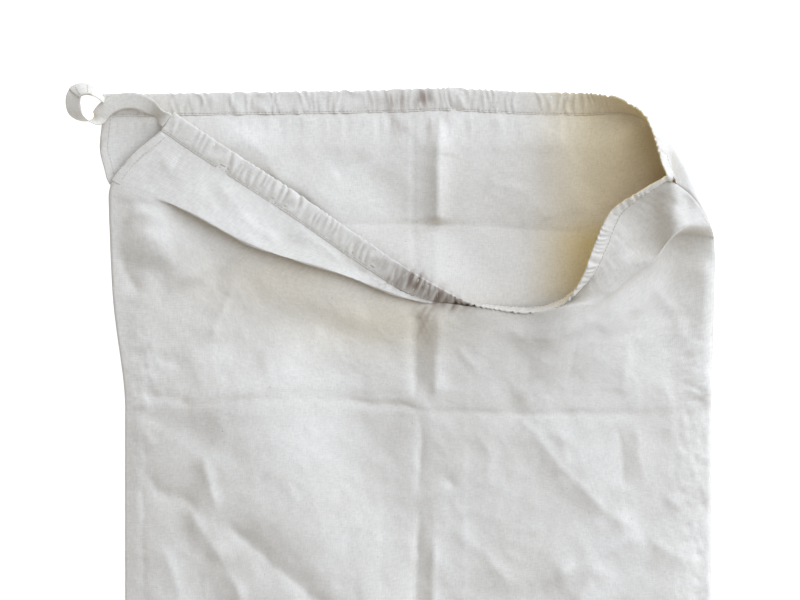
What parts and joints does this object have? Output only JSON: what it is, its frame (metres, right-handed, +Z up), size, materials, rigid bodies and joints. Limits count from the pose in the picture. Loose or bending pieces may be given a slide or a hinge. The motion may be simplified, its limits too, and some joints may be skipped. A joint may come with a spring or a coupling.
{
  "type": "stuff sack",
  "caption": "Flat cotton drawstring stuff sack with a turned casing round its propped-open mouth, a side slit and a tape drawstring loop.",
  "frame": {"origin": "centre of the sack's footprint on the floor, with the sack lying on its back panel", "axes": "+Z up, +Y towards the mouth along the sack's length, +X across the sack away from the slit and the drawstring loop"},
  "size_m": [0.5058, 0.7459, 0.0801],
  "materials": {
    "canvas": "matte unbleached cotton plain weave",
    "cotton_tape": "matte cotton twill tape",
    "thread": "matte cotton sewing thread"
  },
  "bodies": {
    "root": {"back_panel": "canvas", "front_panel": "canvas", "back_casing": "canvas", "front_casing": "canvas", "back_slit_hem": "canvas", "front_slit_hem": "canvas", "left_seam_allowance": "canvas", "right_seam_allowance": "canvas", "bottom_seam_allowance": "canvas", "drawstring_front_run": "cotton_tape", "back_casing_stitches": "thread", "front_casing_stitches": "thread", "back_slit_stitches": "thread", "front_slit_stitches": "thread", "slit_bar_tack": "thread", "left_seam_stitches": "thread", "right_seam_stitches": "thread", "bottom_seam_stitches": "thread"},
    "mouth": {"mouth_turn_casing": "canvas", "drawstring_turn_run": "cotton_tape", "mouth_turn_stitches": "thread"},
    "drawstring": {"drawstring_back_run": "cotton_tape", "drawstring_loop": "cotton_tape", "drawstring_join": "cotton_tape", "drawstring_join_stitches": "thread"}
  },
  "joints": [
    {"name": "drawstring_pull", "type": "slide", "parent": "root", "child": "drawstring", "axis": [-1, 0, 0], "range_m": [0, 0.12]},
    {"name": "mouth_gather", "type": "slide", "parent": "root", "child": "mouth", "axis": [-1, 0, 0], "range_m": [0, 0.12], "deforming": ["back_panel", "front_panel", "back_casing", "front_casing", "back_casing_stitches", "front_casing_stitches", "drawstring_front_run", "left_seam_allowance", "right_seam_allowance", "bottom_seam_allowance", "left_seam_stitches", "right_seam_stitches", "bottom_seam_stitches"]}
  ],
  "couplings": [
    {"joint": "mouth_gather", "follows": "drawstring_pull", "ratio": 1}
  ]
}
